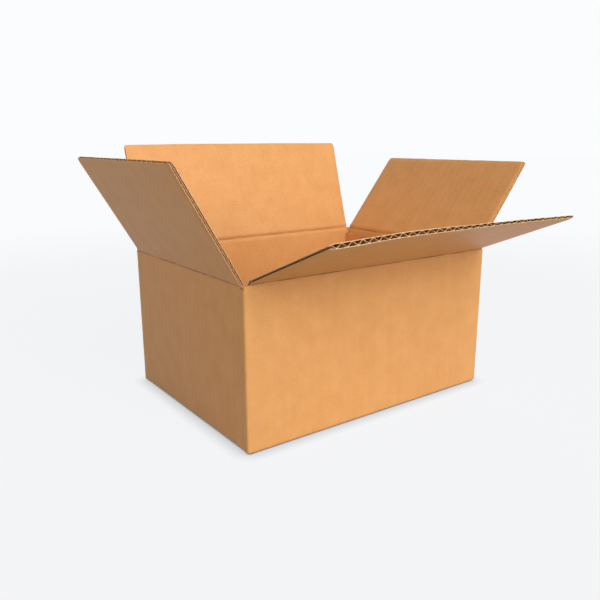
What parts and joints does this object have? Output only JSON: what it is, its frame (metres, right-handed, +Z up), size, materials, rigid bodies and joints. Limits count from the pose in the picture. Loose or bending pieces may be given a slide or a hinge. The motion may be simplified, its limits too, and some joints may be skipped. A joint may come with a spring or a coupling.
{
  "type": "open cardboard box",
  "caption": "Open corrugated cardboard carton with hinged top flaps, a glued bottom and a glue tab inside one corner.",
  "frame": {"origin": "middle of the base, on the floor the carton stands on", "axes": "+X along the long walls towards the right flap, +Y towards the back flap, +Z up"},
  "size_m": [0.2859, 0.2407, 0.1739],
  "materials": {
    "kraft_walls": "matt kraft board, fine fibres",
    "kraft_flaps": "matt kraft facings with open flutes at the cut edges"
  },
  "bodies": {
    "carton": {"carton_body": "kraft_walls"},
    "front": {"front_flap": "kraft_flaps"},
    "back": {"back_flap": "kraft_flaps"},
    "left": {"left_flap": "kraft_flaps"},
    "right": {"right_flap": "kraft_flaps"}
  },
  "joints": [
    {"name": "front_crease", "type": "hinge", "parent": "carton", "child": "front", "pos_m": [0, -0.075, 0.10147], "axis": [1, 0, 0], "range_deg": [-158.4, 103.6]},
    {"name": "back_crease", "type": "hinge", "parent": "carton", "child": "back", "pos_m": [0, 0.075, 0.10147], "axis": [-1, 0, 0], "range_deg": [-106.5, 155.5]},
    {"name": "left_crease", "type": "hinge", "parent": "carton", "child": "left", "pos_m": [-0.1, 0, 0.09853], "axis": [0, -1, 0], "range_deg": [-119.8, 142.2]},
    {"name": "right_crease", "type": "hinge", "parent": "carton", "child": "right", "pos_m": [0.1, 0, 0.09853], "axis": [0, 1, 0], "range_deg": [-128.4, 133.6]}
  ]
}
